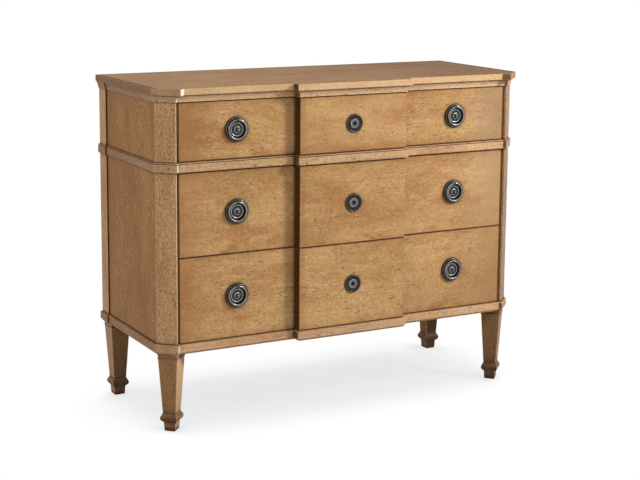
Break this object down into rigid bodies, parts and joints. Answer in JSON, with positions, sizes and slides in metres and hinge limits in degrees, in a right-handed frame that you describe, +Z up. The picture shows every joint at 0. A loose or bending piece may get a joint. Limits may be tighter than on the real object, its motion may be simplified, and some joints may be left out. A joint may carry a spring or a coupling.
{
  "type": "chest of drawers",
  "caption": "Wooden chest with a stepped centre front, wide drawers on wooden runners, hanging ring pulls, canted corners and tapered square legs.",
  "frame": {"origin": "on the floor, under the middle of the top slab's bounding rectangle", "axes": "+X to the right as seen from the front, the drawers face and pull out along -Y, +Z up"},
  "size_m": [1.073, 0.442, 0.864],
  "materials": {
    "front_wood": "honey stained and glazed veneer, satin lacquer",
    "case_wood": "brown stained and distressed wood, satin lacquer",
    "inner_wood": "plain pale secondary wood, thin sealer",
    "aged_metal": "cast metal with a dark pewter patina, worn bright on high spots",
    "bolt_steel": "plain zinc-plated steel"
  },
  "bodies": {
    "case": {"top_slab": "case_wood", "top_moulding_front": "front_wood", "top_moulding_left": "front_wood", "top_moulding_right": "front_wood", "waist_moulding_front": "front_wood", "waist_moulding_left": "front_wood", "waist_moulding_right": "front_wood", "base_moulding_front": "front_wood", "base_moulding_left": "front_wood", "base_moulding_right": "front_wood", "side_panel_left": "case_wood", "side_panel_right": "case_wood", "rear_post_left": "case_wood", "rear_post_right": "case_wood", "front_stile_left": "case_wood", "front_stile_right": "case_wood", "front_leg_left": "case_wood", "front_leg_right": "case_wood", "rear_leg_left": "case_wood", "rear_leg_right": "case_wood", "back_panel": "inner_wood", "bottom_panel": "inner_wood", "top_rail": "inner_wood", "waist_rail": "inner_wood", "middle_rail": "inner_wood", "base_rail": "inner_wood", "top_drawer_runners": "inner_wood", "middle_drawer_runners": "inner_wood", "bottom_drawer_runners": "inner_wood", "leg_bolts": "bolt_steel"},
    "top_drawer": {"top_drawer_front": "front_wood", "top_drawer_side_left": "inner_wood", "top_drawer_side_right": "inner_wood", "top_drawer_back": "inner_wood", "top_drawer_bottom": "inner_wood", "top_pull_plates": "aged_metal", "top_pull_screws": "aged_metal", "top_escutcheon": "aged_metal"},
    "top_left_ring": {"top_left_ring": "aged_metal"},
    "top_right_ring": {"top_right_ring": "aged_metal"},
    "middle_drawer": {"middle_drawer_front": "front_wood", "middle_drawer_side_left": "inner_wood", "middle_drawer_side_right": "inner_wood", "middle_drawer_back": "inner_wood", "middle_drawer_bottom": "inner_wood", "middle_pull_plates": "aged_metal", "middle_pull_screws": "aged_metal", "middle_escutcheon": "aged_metal"},
    "middle_left_ring": {"middle_left_ring": "aged_metal"},
    "middle_right_ring": {"middle_right_ring": "aged_metal"},
    "bottom_drawer": {"bottom_drawer_front": "front_wood", "bottom_drawer_side_left": "inner_wood", "bottom_drawer_side_right": "inner_wood", "bottom_drawer_back": "inner_wood", "bottom_drawer_bottom": "inner_wood", "bottom_pull_plates": "aged_metal", "bottom_pull_screws": "aged_metal", "bottom_escutcheon": "aged_metal"},
    "bottom_left_ring": {"bottom_left_ring": "aged_metal"},
    "bottom_right_ring": {"bottom_right_ring": "aged_metal"}
  },
  "joints": [
    {"name": "top_drawer_slide", "type": "slide", "parent": "case", "child": "top_drawer", "axis": [0, -1, 0], "range_m": [0, 0.3]},
    {"name": "top_left_ring_hinge", "type": "hinge", "parent": "top_drawer", "child": "top_left_ring", "pos_m": [-0.322, -0.1945, 0.7805], "axis": [-1, 0, 0], "range_deg": [0, 100]},
    {"name": "top_right_ring_hinge", "type": "hinge", "parent": "top_drawer", "child": "top_right_ring", "pos_m": [0.322, -0.1945, 0.7805], "axis": [-1, 0, 0], "range_deg": [0, 100]},
    {"name": "middle_drawer_slide", "type": "slide", "parent": "case", "child": "middle_drawer", "axis": [0, -1, 0], "range_m": [0, 0.3]},
    {"name": "middle_left_ring_hinge", "type": "hinge", "parent": "middle_drawer", "child": "middle_left_ring", "pos_m": [-0.322, -0.1945, 0.57488], "axis": [-1, 0, 0], "range_deg": [0, 100]},
    {"name": "middle_right_ring_hinge", "type": "hinge", "parent": "middle_drawer", "child": "middle_right_ring", "pos_m": [0.322, -0.1945, 0.57488], "axis": [-1, 0, 0], "range_deg": [0, 100]},
    {"name": "bottom_drawer_slide", "type": "slide", "parent": "case", "child": "bottom_drawer", "axis": [0, -1, 0], "range_m": [0, 0.3]},
    {"name": "bottom_left_ring_hinge", "type": "hinge", "parent": "bottom_drawer", "child": "bottom_left_ring", "pos_m": [-0.322, -0.1945, 0.36088], "axis": [-1, 0, 0], "range_deg": [0, 100]},
    {"name": "bottom_right_ring_hinge", "type": "hinge", "parent": "bottom_drawer", "child": "bottom_right_ring", "pos_m": [0.322, -0.1945, 0.36088], "axis": [-1, 0, 0], "range_deg": [0, 100]}
  ]
}
